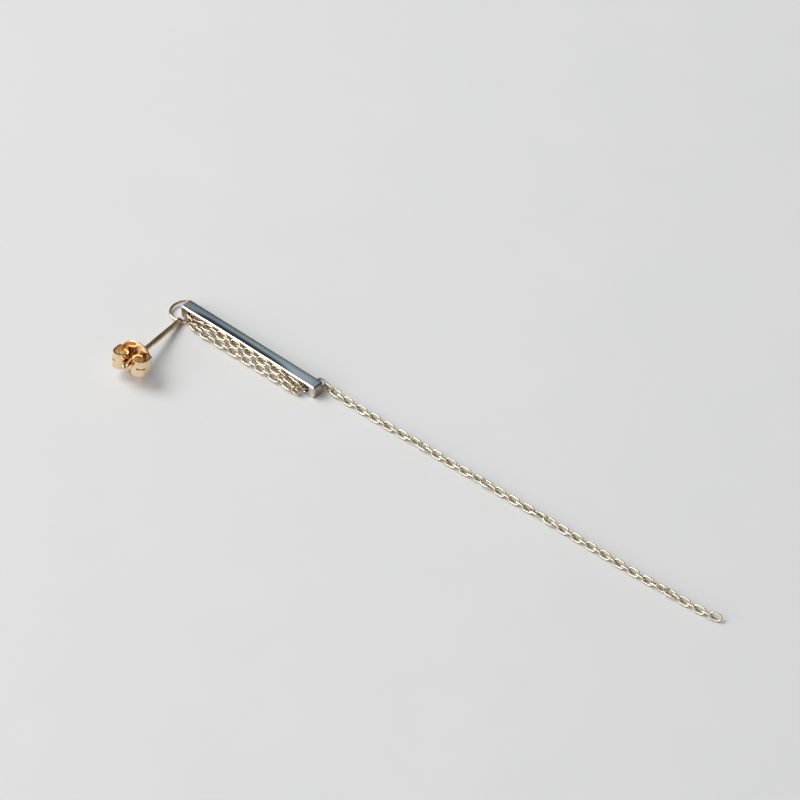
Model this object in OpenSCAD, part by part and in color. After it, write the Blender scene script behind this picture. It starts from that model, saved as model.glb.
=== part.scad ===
// Bar earring: a square silver bar lying on its side, threaded by a gold ring with its
// ear post at one end and by a fine chain at the other. Millimetres, +Z up. The origin is
// the middle of the bar's underside, +X runs along the bar towards the chain's free end.

/* [Bar] */
// Length of the bar
bar_l = 20.2; // [18:0.1:23]
// Width of the bar, seen from above as it lies
bar_w = 1.5; // [1.4:0.05:1.6]
// Height of the bar as it lies
bar_h = 1.5; // [1.5:0.05:1.7]
// Radius of the softened edges
edge_r = 0.14; // [0.06:0.01:0.2]
// Diameter of the cross hole near each end
hole_d = 1.15; // [1.15:0.01:1.25]
// Distance from each end of the bar to the middle of its hole
hole_inset = 1.4; // [1.1:0.05:1.5]

/* [Ring and post] */
// Radius of the ring to the middle of its wire
ring_r = 1.56; // [1.52:0.01:1.6]
// Diameter of the ring's wire
ring_wire = 0.3; // [0.26:0.01:0.32]
// Degrees that the ring rises towards the chain
ring_rise = 1.8; // [1.4:0.1:2.2]
// Degrees that the ring's near side dips to the surface it lies on
ring_dip = 3.2; // [2.8:0.1:3.6]
// Degrees along the ring from its rightmost point to the soldered post
post_at = 64; // [60:1:72]
// Degrees that the post is turned from square to the bar, towards the chain
post_turn = 12.3; // [8:0.1:16]
// Diameter of the ear post
post_d = 0.6; // [0.5:0.02:0.62]
// Length of the ear post from the middle of the ring's wire to its tip
post_l = 12.1; // [11:0.1:14]
// Length of the post's tapered tip
tip_l = 0.45; // [0.2:0.05:0.6]
// Length of the solder's slope round the post's root
solder_l = 0.4; // [0.3:0.05:0.6]
// Distance from the post's tip to the middle of its shallow waist
groove_at = 6; // [5.5:0.1:6.5]
// Length of the waist
groove_w = 0.6; // [0.56:0.02:0.8]
// Depth of the waist
groove_depth = 0.04; // [0.02:0.01:0.06]

/* [Ear back] */
// Diameter of the round plate
plate_d = 4.15; // [3.8:0.05:5]
// Thickness of the sheet that the plate and its arms are made of
sheet = 0.22; // [0.16:0.02:0.26]
// Distance from the post's tip to the plate's middle
back_at = 2.67; // [2.6:0.01:3.4]
// Running gap all round the post, in the plate's hole and between the arms
post_gap = 0.03; // [0.02:0.01:0.06]
// Width of the two rolled arms
arm_w = 1.85; // [1.6:0.05:2.4]
// Length of an arm's straight outer wall, from the plate to the roll
wall_l = 1.1; // [0.95:0.05:1.3]
// Radius of the bend where an arm leaves the plate
bend_r = 0.3; // [0.2:0.05:0.4]
// Radius of an arm's roll
roll_r = 0.8; // [0.74:0.01:0.84]
// Radius at the rolled-in end of an arm
roll_end = 0.5; // [0.4:0.05:0.6]
// Length of the slot in each arm
slot_l = 0.75; // [0.5:0.05:0.9]
// Width of the slot in each arm
slot_w = 0.14; // [0.08:0.02:0.2]
// Degrees along the roll from the outer wall to the slot
slot_at = 50; // [30:5:70]

/* [Chain] */
// Outer length of a link
link_l = 1.56; // [1.52:0.01:1.6]
// Outer width of a link
link_w = 0.9; // [0.88:0.01:0.92]
// Diameter of a link's wire
link_wire = 0.2; // [0.16:0.01:0.2]
// Distance from link to link in the tail, and about that in the strands
pitch = 1.0; // [0.96:0.01:1.02]
// Links in the chain from the lower hole to its free end
tail_links = 59; // [40:1:70]
// Outer length of the link that joins the two strands to the tail
joining_l = 1.7; // [1.68:0.01:1.8]
// Outer length of the wider link that hangs both strands on the ring
top_l = 1.75; // [1.72:0.01:1.8]
// Outer width of that link
top_w = 1.16; // [1.14:0.01:1.2]
// Height that the chain keeps over the surface it lies on
rest_gap = 0.02; // [0.02:0.01:0.05]

/* [Hidden] */

gold = "#d6b36a";
warm_gold = "#d99c52";
silver = "#c8ccd0";

function unit(v) = v / norm(v);
function turned(a, lift = 0) = [cos(a) * cos(lift), sin(a) * cos(lift), sin(lift)];
function soft(t) = let (k = max(0, min(1, t))) k * k * (3 - 2 * k);

// A frame to build in: its middle and its three directions
module placed(o, x, y, z) {
    multmatrix([[x.x, y.x, z.x, o.x], [x.y, y.y, z.y, o.y], [x.z, y.z, z.z, o.z], [0, 0, 0, 1]])
        children();
}

hole_z = bar_h / 2;
upper_hole = [-bar_l / 2 + hole_inset, 0, hole_z];
lower_hole = [bar_l / 2 - hole_inset, 0, hole_z];

// Bar: a soft-edged profile from each of three directions, then the two cross holes

module soft_rectangle(a, b) {
    square([a, b - 2 * edge_r], center = true);
    square([a - 2 * edge_r, b], center = true);
    for (x = [-1, 1], y = [-1, 1])
        translate([x * (a / 2 - edge_r), y * (b / 2 - edge_r)]) circle(edge_r, $fn = 32);
}

module bar() color(silver) {
    difference() {
        translate([0, 0, bar_h / 2]) intersection() {
            rotate([90, 0, 90]) linear_extrude(bar_l, center = true) soft_rectangle(bar_w, bar_h);
            rotate([90, 0, 0]) linear_extrude(bar_w, center = true) soft_rectangle(bar_l, bar_h);
            linear_extrude(bar_h, center = true) soft_rectangle(bar_l, bar_w);
        }
        for (hole = [upper_hole, lower_hole])
            translate(hole) rotate([90, 0, 0]) cylinder(h = 2 * bar_w, d = hole_d, center = true, $fn = 64);
    }
}

// Ring: it arches through the upper hole, goes round the bar's end and leans on the surface

// Where the wire passes the middle of the hole, and the degrees along the ring to that place
ring_arch = [0.14, 0, -0.28];
arch_at = -10;

ring_side = [cos(ring_rise), 0, sin(ring_rise)];
ring_up = unit(cross([0, -cos(ring_dip), -sin(ring_dip)], ring_side));
ring_out = cross(ring_side, ring_up);
function ring_point(a) = ring_r * (cos(a) * ring_side + sin(a) * ring_out);
ring_middle = upper_hole + ring_arch - ring_point(arch_at);

// Post: it rises from the ring's near side to the middle of the round plate

post_root = ring_middle + ring_point(post_at);
plate_r = plate_d / 2;
post_run = post_l - back_at;
post_rise = atan2(plate_r, post_run) + asin((rest_gap - post_root.z) / norm([plate_r, post_run]));
post_axis = turned(post_turn - 90, post_rise);
post_across = turned(post_turn);
post_up = cross(post_axis, post_across);

post_r = post_d / 2;
tip_r = post_r * 0.45;
sunk = ring_wire * 0.4;
solder_r = post_r + 0.04;
// Outline of half the post, root to tip: solder, shaft, waist, shaft, tip
post_outline = concat(
    [[0, -sunk], [post_r * 0.8, -sunk], [solder_r - 0.01, -sunk / 4], [solder_r, solder_l * 0.2],
     [post_r + 0.015, solder_l * 0.6], [post_r, solder_l]],
    [for (a = [-180:45:180])
        [post_r - groove_depth * (1 + cos(a)) / 2, post_l - groove_at + groove_w * a / 360]],
    [for (a = [0:15:90]) [tip_r + (post_r - tip_r) * cos(a), post_l - tip_l + tip_l * sin(a)]],
    [[0, post_l]]
);

module ear_post() color(gold) {
    placed(ring_middle, ring_side, ring_out, ring_up)
        rotate_extrude($fn = 96) translate([ring_r, 0]) circle(d = ring_wire, $fn = 32);
    placed(post_root, post_across, post_up, post_axis)
        rotate_extrude($fn = 48) polygon(post_outline);
}

// Ear back: a round plate square to the post, and two arms that leave its rim as straight
// walls and roll over towards the post

plate_middle = post_root + post_axis * post_run;
roll_x = post_r + post_gap + roll_r + sheet / 2;
wall_x = roll_x + roll_r;

// Middle line of an arm: bend, wall, roll, and the rolled-in end beside the post
arm_line = concat(
    [for (a = [-90:15:0]) [wall_x - bend_r, bend_r] + bend_r * [cos(a), sin(a)]],
    [for (a = [0:10:180]) [roll_x, wall_l] + roll_r * [cos(a), sin(a)]],
    [for (a = [190:10:260]) [roll_x, wall_l] + (roll_r + (roll_end - roll_r) * (a - 180) / 80) * [cos(a), sin(a)]]
);
function beside(line, off) =
    [for (i = [0:len(line) - 1])
        let (
            way = unit(line[min(i + 1, len(line) - 1)] - line[max(i - 1, 0)])
        )
        line[i] + off * [way.y, -way.x]];
arm_outer = beside(arm_line, sheet / 2);
arm_inner = beside(arm_line, -sheet / 2);
arm_outline = concat(arm_outer, [for (i = [len(arm_inner) - 1:-1:0]) arm_inner[i]]);

module arm() difference() {
    rotate([90, 0, 0]) linear_extrude(arm_w, center = true) polygon(arm_outline);
    translate([roll_x, 0, wall_l]) rotate([0, -slot_at, 0])
        translate([roll_r, 0, 0]) cube([4 * sheet, slot_w, slot_l], center = true);
}

module ear_back() color(warm_gold)
    placed(plate_middle, post_across, post_up, post_axis) {
        rotate_extrude($fn = 96) {
            translate([post_r + post_gap, -sheet / 2])
                square([plate_r - sheet / 2 - post_r - post_gap, sheet]);
            translate([plate_r - sheet / 2, 0]) circle(d = sheet, $fn = 24);
        }
        arm();
        mirror([1, 0, 0]) arm();
    }

// Chain: a link is a stretched ring of 12 sides whose wire has 6, hung between two joints

link_side = (link_w - link_wire) / 2;

function link_points(a, b, roll, length, width) =
    let (
        along = unit(b - a), level = unit(cross([0, 0, 1], along)), up = cross(along, level),
        wide = cos(roll) * level + sin(roll) * up, flat = cross(along, wide),
        side = (width - link_wire) / 2, reach = (length - link_wire) / 2 - side, bend = side / cos(15)
    )
    [for (k = [0:11], s = [0:5])
        let (t = 30 * k - 75, end = k < 6 ? 1 : -1, out = cos(t) * along + sin(t) * wide)
        (a + b) / 2 + end * reach * along + bend * out
        + link_wire / 2 * (cos(60 * s) * out / cos(15) + sin(60 * s) * flat)];

link_faces = [for (k = [0:11], s = [0:5])
    [6 * k + s, 6 * k + (s + 1) % 6, 6 * ((k + 1) % 12) + (s + 1) % 6, 6 * ((k + 1) % 12) + s]];

module chain_link(a, b, roll, length = link_l, width = link_w)
    polyhedron(link_points(a, b, roll, length, width), link_faces, convexity = 4);

// How far a link reaches past the joint that it shares with the next one
overlap = (link_l - link_wire - pitch) / 2;

// A smooth line through chosen points, and equal steps along it
function spline(p, n = 10) =
    let (
        last = len(p) - 1,
        q = concat([2 * p[0] - p[1]], p, [2 * p[last] - p[last - 1]])
    )
    concat([for (i = [0:last - 1], k = [0:n - 1])
        let (t = k / n, a = q[i], b = q[i + 1], c = q[i + 2], d = q[i + 3])
        (2 * b + (c - a) * t + (2 * a - 5 * b + 4 * c - d) * t * t + (3 * b - a - 3 * c + d) * t * t * t) / 2],
        [p[last]]);
function lengths(c) = [for (i = 0, s = 0; i < len(c);
    s = s + (i + 1 < len(c) ? norm(c[i + 1] - c[i]) : 0), i = i + 1) s];
function steps(p, step, count) =
    let (
        c = spline(p), s = lengths(c),
        table = [for (a = [0:2]) [for (i = [0:len(c) - 1]) [s[i], c[i][a]]]]
    )
    [for (k = [0:count]) [for (a = [0:2]) lookup(k * step, table[a])]];

// Lower hole: an upright link joins the strands to a flat link that lies in the hole, and
// the next, upright, link leaves the hole on the bar's far side. The turns are measured
// from the bar's length.
joining_turn = 58;
hole_link_turn = 91;
leaving_turn = 65;
joining_end = lower_hole + [-0.07, -0.615, 0.035];
joining_rise = 0.03;

joining_way = turned(joining_turn);
joining_middle = joining_end + [0, 0, joining_rise] - joining_way * (joining_l - link_wire) / 2;
hole_link_end = joining_end + turned(hole_link_turn) * (link_l - link_wire - 2 * link_side);
leaving_end = hole_link_end + turned(leaving_turn, -3) * (link_l - link_wire);

module joining_link()
    chain_link(joining_middle - joining_way, joining_middle + joining_way, 90, joining_l);

// Strands: one wider upright link hangs on the ring's near side, and both strands start in
// its far end. They run along the bar and hook into the joining link, the near one through its
// lower wire and the far one through its upper wire.

// Degrees along the ring to the place where the top link hangs, and how far past it it reaches
top_hang = 30.8;
top_way = turned(-15.5);
top_reach = 0.27;
top_roll = 84;
// The first wire of each strand: back from the top link's far end, and off its middle height
near_wire = [0.486, -0.137];
far_wire = [0.55, 0.167];
near_first_way = turned(-17.5, 0.8);
far_first_way = turned(-2.7, 16.5);
// Where the joining link's wires are hooked, from its near end, and how far past them
near_hook = 0.47;
far_hook = 0.84;
near_reach = 0.45;
far_reach = 0.205;

top_place = ring_middle + ring_point(top_hang) + top_reach * top_way;
top_middle = [top_place.x, top_place.y, top_w / 2 + 0.5 * rest_gap];
function first_joint(wire, way) =
    top_middle + (top_l / 2 - wire[0]) * top_way + [0, 0, wire[1]] + overlap * way;
near_start = first_joint(near_wire, near_first_way);
far_start = first_joint(far_wire, far_first_way);
function hook(at, side, reach) = joining_middle + joining_way * (at - joining_l / 2) + [reach, 0, side * link_side];
near_end = hook(near_hook, -1, near_reach);
far_end = hook(far_hook, 1, far_reach);

// The strands' chosen points: along the bar's length, off its side, up from the surface
side_y = -bar_w / 2;
near_route = [
    near_start,
    near_start + near_first_way,
    [upper_hole.x + 2.1, side_y - 0.97, 0.48],
    [-bar_l * 0.225, side_y - 0.81, 0.475],
    [0, side_y - 0.81, 0.475],
    [bar_l * 0.24, side_y - 0.81, 0.475],
    [lower_hole.x - 2.1, side_y - 0.76, 0.475],
    near_end - [1.1, 0, 0],
    near_end
];
far_route = [
    far_start,
    far_start + far_first_way,
    [upper_hole.x + 2.3, side_y - 0.5, 1.19],
    [-bar_l * 0.225, side_y - 0.49, 1.395],
    [0, side_y - 0.49, 1.395],
    [bar_l * 0.24, side_y - 0.49, 1.395],
    [lower_hole.x - 2.1, side_y - 0.49, 1.155],
    far_end - [1.1, 0, 0],
    far_end
];

// Every second link stands upright. The links lean by first_turn at the strand's start and by
// turn between its ends, and each change takes as many links as ramp says.
module strand(route, first_turn, turn, ramp) {
    total = lengths(spline(route))[10 * (len(route) - 1)];
    links = 2 * round(total / pitch / 2);
    joints = steps(route, total / links, links);
    for (i = [0:links - 1])
        chain_link(joints[i], joints[i + 1], (i % 2 == 0 ? 0 : 90)
            + first_turn * (1 - soft(i / ramp)) + turn * soft(i / ramp) * soft((links - 1 - i) / ramp));
}

module bar_chain() color(gold) {
    chain_link(top_middle - top_way, top_middle + top_way, top_roll, top_l, top_w);
    strand(near_route, first_turn = -3, turn = 35, ramp = 3.8);
    strand(far_route, first_turn = -5, turn = 35, ramp = 4.5);
    joining_link();
}

// Tail: from the lower hole down to the surface, then out along it

// Chosen points of the tail on the surface, from the middle of the lower hole
tail_route = [
    [3.8, 1.15], [6.4, 1.15], [10.5, 1.18], [14.7, 1.31], [19.6, 1.42], [23.6, 1.55], [28.6, 1.65],
    [32.7, 1.78], [37.7, 1.82], [41.6, 1.87], [45.6, 1.92], [50.6, 2.12], [54.5, 2.32], [56.6, 2.6], [57.6, 2.95]
];
// On the surface the links settle to this lean, over this length from the lower hole's side
tail_lean = 42;
tail_lean_l = [1.2, 3.4];
// Where the tail rolls over by a quarter turn, and the length that it takes
tail_rolls = [15.3, 24.3, 32.8, 50.3];
tail_roll_l = 5.5;

function tail_turns(x) = x < tail_rolls[0] - tail_roll_l ? 0
    : [for (i = 0, a = 0; i <= len(tail_rolls);
        a = a + (i < len(tail_rolls) ? 90 * soft((x - tail_rolls[i]) / tail_roll_l + 0.5) : 0), i = i + 1) a][len(tail_rolls)];
function tail_roll(x) = tail_lean * soft((x - tail_lean_l[0]) / tail_lean_l[1]) + tail_turns(x);
// A leaning chain lies lower than one whose links stand upright
function settle(x) = 0.8 * link_side * (1 - max(abs(sin(tail_roll(x))), abs(cos(tail_roll(x)))));

lie_z = rest_gap + link_w / 2;
tail_turn = lower_hole + [1.5, 1.3, 0.535 - hole_z];
tail_start = leaving_end - unit(tail_turn - leaving_end) * (link_side - overlap);
tail_joints = [for (p = steps(
        concat([tail_start, tail_turn], [for (q = tail_route) [lower_hole.x + q.x, q.y, lie_z]]),
        pitch, tail_links - 2))
    p - [0, 0, settle(p.x - lower_hole.x)]];

module tail_chain() color(gold) {
    chain_link(joining_end, hole_link_end, 0);
    chain_link(hole_link_end, leaving_end, 90);
    for (i = [0:tail_links - 3])
        chain_link(tail_joints[i], tail_joints[i + 1],
            (i % 2 == 0 ? 0 : 90) + tail_roll((tail_joints[i].x + tail_joints[i + 1].x) / 2 - lower_hole.x));
}

bar();
ear_post();
ear_back();
bar_chain();
tail_chain();
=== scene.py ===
# Bar earring on a pale floor: the square silver bar, the ring with its ear post, the butterfly
# ear back and the fine oval-link chain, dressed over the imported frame. One unit is a metre.

import math
import bpy
import numpy as np
from mathutils import Matrix, Vector


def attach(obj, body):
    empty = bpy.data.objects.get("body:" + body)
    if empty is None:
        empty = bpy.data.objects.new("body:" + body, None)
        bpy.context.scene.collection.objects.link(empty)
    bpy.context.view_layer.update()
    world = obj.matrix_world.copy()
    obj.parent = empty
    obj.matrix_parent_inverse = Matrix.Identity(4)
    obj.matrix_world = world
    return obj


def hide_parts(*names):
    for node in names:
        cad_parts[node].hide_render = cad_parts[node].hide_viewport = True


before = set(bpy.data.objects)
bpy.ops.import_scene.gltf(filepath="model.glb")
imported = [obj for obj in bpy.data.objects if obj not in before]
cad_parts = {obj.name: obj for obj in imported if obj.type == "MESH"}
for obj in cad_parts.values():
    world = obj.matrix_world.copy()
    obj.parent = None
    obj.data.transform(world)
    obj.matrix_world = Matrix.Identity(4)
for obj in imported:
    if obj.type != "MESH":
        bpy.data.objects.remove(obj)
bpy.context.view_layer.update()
mm = 0.001


# Camera: a long lens from 42 degrees above the floor, looking along the bar from its near side.
# It stands far off, as the photograph's nearly parallel edges show.
view_azimuth = math.radians(42.594)
view_height = math.radians(42.318)
view_target = Vector((17.2008, 5.5115, 0)) * mm
view_distance = 850 * mm

look = Vector((-math.sin(view_azimuth) * math.cos(view_height),
               math.cos(view_azimuth) * math.cos(view_height),
               -math.sin(view_height)))
lens = bpy.data.cameras.new("long_lens")
lens.sensor_width = 36
lens.lens = 7738 / 800 * 36
lens.clip_start = 0.01
lens.clip_end = 20
viewer = bpy.data.objects.new("long_lens", lens)
viewer.location = view_target - look * view_distance
viewer.rotation_euler = look.to_track_quat("-Z", "Y").to_euler()
bpy.context.scene.collection.objects.link(viewer)
bpy.context.scene.camera = viewer
bpy.context.scene.view_settings.view_transform = "Standard"
bpy.context.scene.view_settings.look = "None"


# Floor and light: a smooth pale sheet, one broad soft lamp from the upper left, and a white
# room that is darker overhead and behind, which the polished metal mirrors.
def tree_of(material):
    material.use_nodes = True
    tree = material.node_tree
    tree.nodes.clear()
    return tree


def node(tree, kind, inputs=None, **settings):
    made = tree.nodes.new(kind)
    for name, value in settings.items():
        setattr(made, name, value)
    for key, value in (inputs or {}).items():
        if isinstance(value, bpy.types.NodeSocket):
            tree.links.new(value, made.inputs[key])
        else:
            made.inputs[key].default_value = value
    return made


def ramp(tree, value, stops):
    made = node(tree, "ShaderNodeValToRGB", {"Fac": value})
    while len(made.color_ramp.elements) < len(stops):
        made.color_ramp.elements.new(0.5)
    for element, (place, colour) in zip(made.color_ramp.elements, stops):
        element.position = place
        element.color = (*colour, 1)
    return made.outputs["Color"]


def spread(tree, value, low, high, to_low=0.0, to_high=1.0, kind="LINEAR"):
    ends = {"Value": value, "From Min": low, "From Max": high, "To Min": to_low, "To Max": to_high}
    return node(tree, "ShaderNodeMapRange", ends, interpolation_type=kind).outputs["Result"]


def blend(tree, share, first, second, kind="MIX"):
    return node(tree, "ShaderNodeMix", {0: share, 6: first, 7: second},
                data_type="RGBA", blend_type=kind).outputs[2]


def dot(tree, first, second):
    return node(tree, "ShaderNodeVectorMath", {0: first, 1: second},
                operation="DOT_PRODUCT").outputs["Value"]


sheet_size = 6.0
sheet = bpy.data.meshes.new("floor_sheet")
corners = ((-1, -1), (1, -1), (1, 1), (-1, 1))
sheet.from_pydata([(x * sheet_size / 2, y * sheet_size / 2, 0) for x, y in corners], [], [(0, 1, 2, 3)])
floor = bpy.data.objects.new("floor_sheet", sheet)
bpy.context.scene.collection.objects.link(floor)
paper = bpy.data.materials.new("pale_paper")
tree = tree_of(paper)
place = node(tree, "ShaderNodeTexCoord").outputs["Object"]
mottle = node(tree, "ShaderNodeTexNoise", {"Vector": place, "Scale": 90.0, "Detail": 3.0}).outputs["Fac"]
tone = ramp(tree, mottle, [(0.3, (0.752, 0.757, 0.763)), (0.7, (0.765, 0.769, 0.774))])
surface = node(tree, "ShaderNodeBsdfPrincipled", {"Base Color": tone, "Roughness": 0.7})
node(tree, "ShaderNodeOutputMaterial", {"Surface": surface.outputs["BSDF"]})
sheet.materials.append(paper)

room = bpy.data.worlds.new("white_room")
bpy.context.scene.world = room
tree = tree_of(room)
way = node(tree, "ShaderNodeTexCoord").outputs["Generated"]
parts = node(tree, "ShaderNodeSeparateXYZ", {"Vector": way})
high = ramp(tree, parts.outputs["Z"], [
    (0.0, (0.13, 0.11, 0.10)), (0.42, (0.08, 0.08, 0.08)), (0.50, (0.24, 0.28, 0.29)),
    (0.70, (0.33, 0.43, 0.50)), (0.77, (0.04, 0.06, 0.08)), (1.0, (0.04, 0.05, 0.06))])
left_share = spread(tree, dot(tree, way, (-0.8, 0.6, 0.0)), -0.1, 0.4, kind="SMOOTHSTEP")
high = blend(tree, left_share, (0.14, 0.14, 0.14, 1), high)
front_share = spread(tree, dot(tree, way, (-0.35, -0.94, 0.0)), 0.55, 0.85, kind="SMOOTHSTEP")
glow = blend(tree, front_share, high, (1.35, 1.33, 1.28, 1))
sky = node(tree, "ShaderNodeBackground", {"Color": glow, "Strength": 1.0})
node(tree, "ShaderNodeOutputWorld", {"Surface": sky.outputs["Background"]})

for name, way_there, size, power, tint in (
        ("soft_key", (-0.66, -0.16, 0.735), 0.72, 7.2, (1.0, 0.99, 0.97)),
        ("soft_fill", (-0.2, -0.72, 0.66), 1.1, 4.1, (1.0, 0.975, 0.95))):
    lamp = bpy.data.lights.new(name, "AREA")
    lamp.shape = "DISK"
    lamp.size = size
    lamp.energy = power
    lamp.color = tint
    stand = bpy.data.objects.new(name, lamp)
    stand.location = view_target + Vector(way_there)
    stand.rotation_euler = (-Vector(way_there)).to_track_quat("-Z", "Y").to_euler()
    bpy.context.scene.collection.objects.link(stand)


# Bar: a square bar of sterling silver, drawn, filed and polished, its edges only just broken
# and one cross hole drilled near each end. Fine polishing lines run along it. Painted reflection
# and painted shade darken its upper end, its far edge, its lower end face, the near side by the
# upper hole and its hollows.
silver = bpy.data.materials.new("polished_silver")
tree = tree_of(silver)
texture = node(tree, "ShaderNodeTexCoord")
place = texture.outputs["Object"]
along = node(tree, "ShaderNodeMapping", {"Vector": place, "Scale": (300, 9000, 9000)}).outputs["Vector"]
lines = node(tree, "ShaderNodeTexNoise", {"Vector": along, "Scale": 1.0, "Detail": 4.0}).outputs["Fac"]
clouds = node(tree, "ShaderNodeTexNoise", {"Vector": place, "Scale": 420.0, "Detail": 3.0}).outputs["Fac"]
tone = ramp(tree, clouds, [(0.35, (0.82, 0.78, 0.75)), (0.6, (0.90, 0.855, 0.82))])
# Painted shade and painted reflection: the silver turns dark brown where other parts lie within 0.7 mm, in
# the holes and under the ring and links.
open_air = node(tree, "ShaderNodeAmbientOcclusion", {"Distance": 0.7 * mm}).outputs["AO"]
tone = blend(tree, spread(tree, open_air, 0.15, 0.62), (0.22, 0.15, 0.10, 1), tone)
dull = spread(tree, lines, 0.0, 1.0, 0.03, 0.09)
spot = node(tree, "ShaderNodeSeparateXYZ", {"Vector": place})


def worked(kind, a, b):
    return node(tree, "ShaderNodeMath", {0: a, 1: b}, operation=kind).outputs[0]


# Painted reflection and shade: the near side face by the upper hole is darkened to brown, for the shaded
# floor and the post mirrored there.
near_side = spread(tree, spot.outputs["Y"], -0.75 * mm, -0.70 * mm, 1.0, 0.0)
upper_end = spread(tree, spot.outputs["X"], -9.5 * mm, -8.9 * mm, 1.0, 0.0, "SMOOTHSTEP")
# Painted reflection: the lower end face is tinted brown, for the gold tail and its shadow mirrored there.
lower_face = spread(tree, spot.outputs["X"], 9.93 * mm, 9.98 * mm)
tone = blend(tree, worked("MULTIPLY", near_side, upper_end), tone, (0.32, 0.26, 0.21, 1))
tone = blend(tree, lower_face, tone, (0.60, 0.49, 0.41, 1))
# Painted reflection on the top face: darker towards the upper end and much darker towards the far edge, for
# the dim room overhead and behind mirrored there.
top_face = spread(tree, spot.outputs["Z"], 1.3 * mm, 1.45 * mm)
painted_reflection_along = ((0.0, 0.62), (0.2, 0.66), (0.3, 0.80), (0.42, 0.88), (0.8, 0.97), (0.95, 0.95), (0.98, 0.75))
painted_reflection_across = ((0.55, 1.0), (0.67, 0.88), (0.81, 0.62), (0.95, 0.40))
for value, reach, shades in ((spot.outputs["X"], 10.1 * mm, painted_reflection_along),
                             (spot.outputs["Y"], 0.75 * mm, painted_reflection_across)):
    stops = [(stop, (grey,) * 3) for stop, grey in shades]
    shade = ramp(tree, spread(tree, value, -reach, reach), stops)
    tone = blend(tree, top_face, tone, shade, "MULTIPLY")


def rounded_over(value, low, high, far=1.0):
    band = 0.28 * mm
    falling = spread(tree, value, low, low + band, -1.0, 0.0, "SMOOTHSTEP")
    rising = spread(tree, value, high - band, high, 0.0, far, "SMOOTHSTEP")
    return worked("ADD", falling, rising)


hand_stops = ((0.0, 0.2), (0.1, 0.45), (0.2, 1.0), (0.42, 1.0), (0.7, 0.7), (0.86, 0.05))
hand = ramp(tree, spread(tree, spot.outputs["X"], -10.1 * mm, 10.1 * mm),
            [(stop, (grey,) * 3) for stop, grey in hand_stops])
hollow = worked("MULTIPLY", spread(tree, spot.outputs["Y"], -0.38 * mm, 0.25 * mm, -0.38, 0.0), hand)
tilt = node(tree, "ShaderNodeCombineXYZ", {
    "Y": worked("ADD", hollow, rounded_over(spot.outputs["Y"], -0.75 * mm, 0.75 * mm, 0.72)),
    "Z": rounded_over(spot.outputs["Z"], 0.0, 1.5 * mm)}).outputs["Vector"]
rounded = node(tree, "ShaderNodeVectorMath", {0: texture.outputs["Normal"], 1: tilt},
               operation="ADD").outputs["Vector"]
facing = node(tree, "ShaderNodeVectorTransform", {"Vector": rounded}, vector_type="NORMAL",
              convert_from="OBJECT", convert_to="WORLD").outputs["Vector"]
fine = node(tree, "ShaderNodeBump", {"Strength": 0.05, "Distance": 0.00002,
                                     "Height": lines, "Normal": facing}).outputs["Normal"]
surface = node(tree, "ShaderNodeBsdfPrincipled",
               {"Base Color": tone, "Metallic": 1.0, "Roughness": dull, "Normal": fine})
node(tree, "ShaderNodeOutputMaterial", {"Surface": surface.outputs["BSDF"]})


def coat(node_name, material):
    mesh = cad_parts[node_name].data
    mesh.materials.clear()
    mesh.materials.append(material)


coat("bar", silver)


# Ring and post: drawn wire bent into a ring through the bar's upper hole, and the straight ear
# post soldered to its near side, all in pale gold with faint drawing lines.
def gold(name, light, deep, painted_recess_shade, patch, shine, wear, dent, dark_spots=(), painted_top_shade=0.0):
    material = bpy.data.materials.new(name)
    tree = tree_of(material)
    texture = node(tree, "ShaderNodeTexCoord")
    place = texture.outputs["Object"]

    def noise(scale, detail):
        return node(tree, "ShaderNodeTexNoise",
                    {"Vector": place, "Scale": scale, "Detail": detail}).outputs["Fac"]

    def air_within(reach):
        return node(tree, "ShaderNodeAmbientOcclusion", {"Distance": reach}).outputs["AO"]

    tone = ramp(tree, noise(patch, 3.0), [(0.35, deep), (0.65, light)])
    # Painted shade: the tone goes towards the recess colour where other surfaces lie within 0.6 mm, and
    # towards a near-black brown in deep hollows.
    tone = blend(tree, spread(tree, air_within(0.6 * mm), 0.25, 0.8), (*painted_recess_shade, 1), tone)
    tone = blend(tree, spread(tree, air_within(1.6 * mm), 0.05, 0.16), (0.3, 0.12, 0.04, 1), tone)
    # Painted reflection and shade: faces turned up and back are darkened to brown, for the dim room overhead
    # mirrored there; the last argument sets how much.
    upward = dot(tree, texture.outputs["Normal"], (-0.25, 0.62, 0.74))
    dim_share = spread(tree, upward, 0.35, 0.85, 0.0, painted_top_shade, "SMOOTHSTEP")
    tone = blend(tree, dim_share, tone, (0.30, 0.19, 0.12, 1))
    # Near-black spots: one at the post's root where it joins the ring, and painted shade in a row along the
    # ear back's slit.
    for middle, radius in dark_spots:
        away = node(tree, "ShaderNodeVectorMath", {0: place, 1: Vector(middle) * mm},
                    operation="DISTANCE").outputs["Value"]
        clear = spread(tree, away, radius * mm * 0.6, radius * mm, kind="SMOOTHSTEP")
        tone = blend(tree, clear, (0.05, 0.03, 0.018, 1), tone)
    grain = noise(9000.0, 3.0)
    dull = spread(tree, grain, 0.0, 1.0, shine, shine + wear)
    dents = node(tree, "ShaderNodeBump", {"Strength": dent, "Distance": 0.0001,
                                          "Height": noise(1600.0, 1.0)}).outputs["Normal"]
    fine = node(tree, "ShaderNodeBump", {"Strength": 0.08, "Distance": 0.00001,
                                         "Height": grain, "Normal": dents}).outputs["Normal"]
    surface = node(tree, "ShaderNodeBsdfPrincipled",
                   {"Base Color": tone, "Metallic": 1.0, "Roughness": dull, "Normal": fine})
    node(tree, "ShaderNodeOutputMaterial", {"Surface": surface.outputs["BSDF"]})
    return material


solder_spots = [((-9.41, -1.67, 0.42), 0.42)]
coat("ear_post", gold("ring_and_post_gold", (0.84, 0.65, 0.41), (0.64, 0.46, 0.27), (0.22, 0.13, 0.06),
                      500.0, 0.12, 0.1, 0.05, solder_spots, painted_top_shade=0.5))


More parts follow.
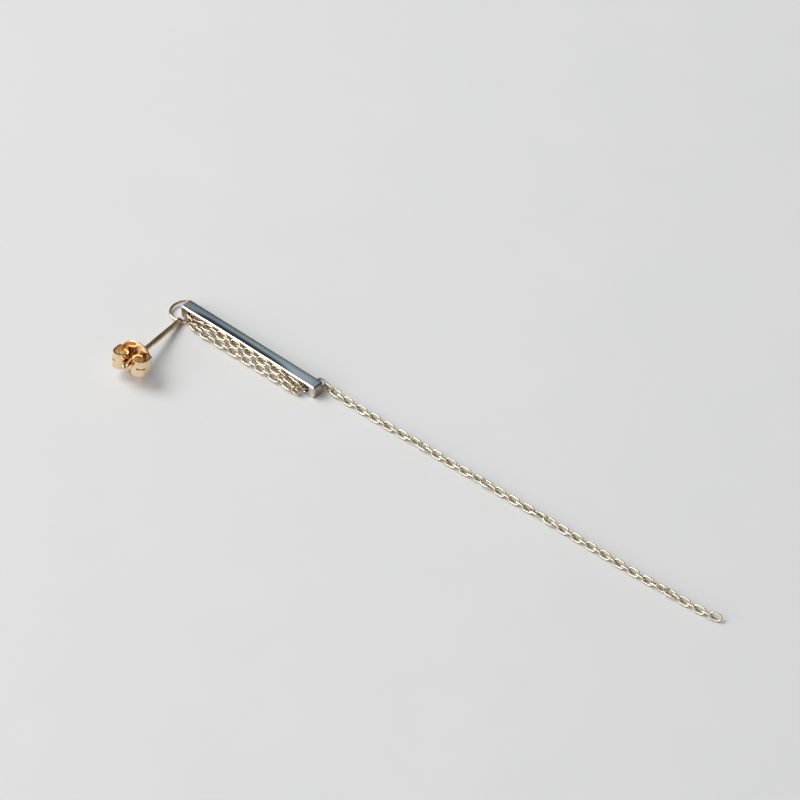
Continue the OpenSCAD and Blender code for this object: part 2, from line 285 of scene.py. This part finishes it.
# Ear back: a butterfly clutch stamped from thin brass sheet, its round plate turned outward
# and two arms rolled in beside the post, plated in a warmer yellow gold.
# Painted shade: a row of near-black spots along the ear back's slit.
slot_ends = Vector((-5.66, -12.23, 2.43)), Vector((-5.22, -11.72, 2.34))
slot_shade_spots = [(slot_ends[0].lerp(slot_ends[1], share), 0.2) for share in (0.0, 0.25, 0.5, 0.75, 1.0)]
coat("ear_back", gold("ear_back_gold", (0.94, 0.72, 0.48), (0.88, 0.63, 0.38), (0.62, 0.26, 0.08),
                      600.0, 0.12, 0.12, 0.15, slot_shade_spots))


# Strands: the two runs of fine oval-link chain beside the bar. Each link is a bent and soldered
# ring of drawn wire, hooked into the one before, and lies where its solid in the frame does.
def link_places(node_name):
    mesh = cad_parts[node_name].data
    spots = np.array([v.co for v in mesh.vertices], float)
    keys = np.round(spots / 1e-7).astype(np.int64)
    _, first, same = np.unique(keys, axis=0, return_index=True, return_inverse=True)
    spots, same = spots[first], same.reshape(-1)
    group = list(range(len(spots)))

    def head(i):
        while group[i] != i:
            group[i] = group[group[i]]
            i = group[i]
        return i

    for face in mesh.polygons:
        corners = [same[v] for v in face.vertices]
        for corner in corners[1:]:
            group[head(corner)] = head(corners[0])
    heads = np.array([head(i) for i in range(len(spots))])
    places = []
    for name in sorted(set(heads)):
        cloud = spots[heads == name]
        middle = cloud.mean(0)
        _, _, turns = np.linalg.svd(cloud - middle)
        if np.linalg.det(turns) < 0:
            turns[2] = -turns[2]
        reach = np.abs((cloud - middle) @ turns.T).max(0) * 2
        places.append((middle, Matrix(turns.T.tolist()).to_quaternion(), reach))
    return places


def link_tree(name, length, width, wire):
    tree = bpy.data.node_groups.new(name, "GeometryNodeTree")
    tree.interface.new_socket("Geometry", in_out="INPUT", socket_type="NodeSocketGeometry")
    for label, size in (("Link length", length), ("Link width", width), ("Wire", wire)):
        socket = tree.interface.new_socket(label, in_out="INPUT", socket_type="NodeSocketFloat")
        socket.default_value = size
    tree.interface.new_socket("Metal", in_out="INPUT", socket_type="NodeSocketMaterial")
    tree.interface.new_socket("Geometry", in_out="OUTPUT", socket_type="NodeSocketGeometry")
    given = tree.nodes.new("NodeGroupInput").outputs

    def less(a, b):
        return node(tree, "ShaderNodeMath", {0: a, 1: b}, operation="SUBTRACT").outputs[0]

    middle_length = less(given["Link length"], given["Wire"])
    middle_width = less(given["Link width"], given["Wire"])
    outline = node(tree, "GeometryNodeCurvePrimitiveQuadrilateral",
                   {"Width": middle_length, "Height": middle_width}).outputs["Curve"]
    corner = node(tree, "ShaderNodeMath", {0: middle_width, 1: 0.4999}, operation="MULTIPLY").outputs[0]
    bent = node(tree, "GeometryNodeFilletCurve", {"Curve": outline, "Count": 6, "Radius": corner},
                mode="POLY").outputs["Curve"]
    thick = node(tree, "ShaderNodeMath", {0: given["Wire"], 1: 0.5}, operation="MULTIPLY").outputs[0]
    section = node(tree, "GeometryNodeCurvePrimitiveCircle",
                   {"Resolution": 10, "Radius": thick}).outputs["Curve"]
    one_link = node(tree, "GeometryNodeCurveToMesh",
                    {"Curve": bent, "Profile Curve": section}).outputs["Mesh"]
    turn = node(tree, "GeometryNodeInputNamedAttribute", {"Name": "turn"},
                data_type="QUATERNION").outputs["Attribute"]
    hung = node(tree, "GeometryNodeInstanceOnPoints",
                {"Points": given["Geometry"], "Instance": one_link, "Rotation": turn}).outputs["Instances"]
    joined = node(tree, "GeometryNodeRealizeInstances", {"Geometry": hung}).outputs["Geometry"]
    smooth = node(tree, "GeometryNodeSetShadeSmooth", {"Geometry": joined}).outputs["Geometry"]
    finished = node(tree, "GeometryNodeSetMaterial",
                    {"Geometry": smooth, "Material": given["Metal"]}).outputs["Geometry"]
    node(tree, "NodeGroupOutput", {"Geometry": finished})
    return tree


def hang_links(name, places, material, wire):
    points = bpy.data.meshes.new(name)
    points.from_pydata([tuple(p[0]) for p in places], [], [])
    turn = points.attributes.new("turn", "QUATERNION", "POINT")
    for item, (_, way, _) in zip(turn.data, places):
        item.value = way
    piece = bpy.data.objects.new(name, points)
    bpy.context.scene.collection.objects.link(piece)
    row = piece.modifiers.new("links", "NODES")
    row.node_group = link_tree(name + "_links", 0.00156, 0.0009, wire)
    reach = places[0][2]
    wanted = {"Link length": reach[0], "Link width": reach[1], "Wire": wire, "Metal": material}
    for socket in row.node_group.interface.items_tree:
        if socket.in_out == "INPUT" and socket.name in wanted:
            row[socket.identifier] = wanted[socket.name]
    solid = bpy.data.meshes.new_from_object(piece.evaluated_get(bpy.context.evaluated_depsgraph_get()))
    piece.modifiers.clear()
    piece.data = solid
    solid.name = name
    return piece


wire = 0.2 * mm
chain_gold = gold("chain_gold", (0.78, 0.71, 0.53), (0.66, 0.57, 0.39), (0.28, 0.18, 0.08),
                  700.0, 0.24, 0.1, 0.1, painted_top_shade=0.9)
places = sorted(link_places("bar_chain"), key=lambda place: place[2][0])
strands = hang_links("strand_links", places[:-2], chain_gold, wire)
joining_link = hang_links("joining_link", places[-2:-1], chain_gold, wire)
top_link = hang_links("top_link", places[-1:], chain_gold, wire)
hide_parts("bar_chain")
for piece in (strands, joining_link, top_link):
    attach(piece, "earring")


# Tail: the same chain, single, from the lower hole down to the floor and out along it, ending
# in its own last link. It is made with the strands' tree and metal.
tail = hang_links("tail_links", link_places("tail_chain"), chain_gold, wire)
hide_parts("tail_chain")
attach(tail, "earring")
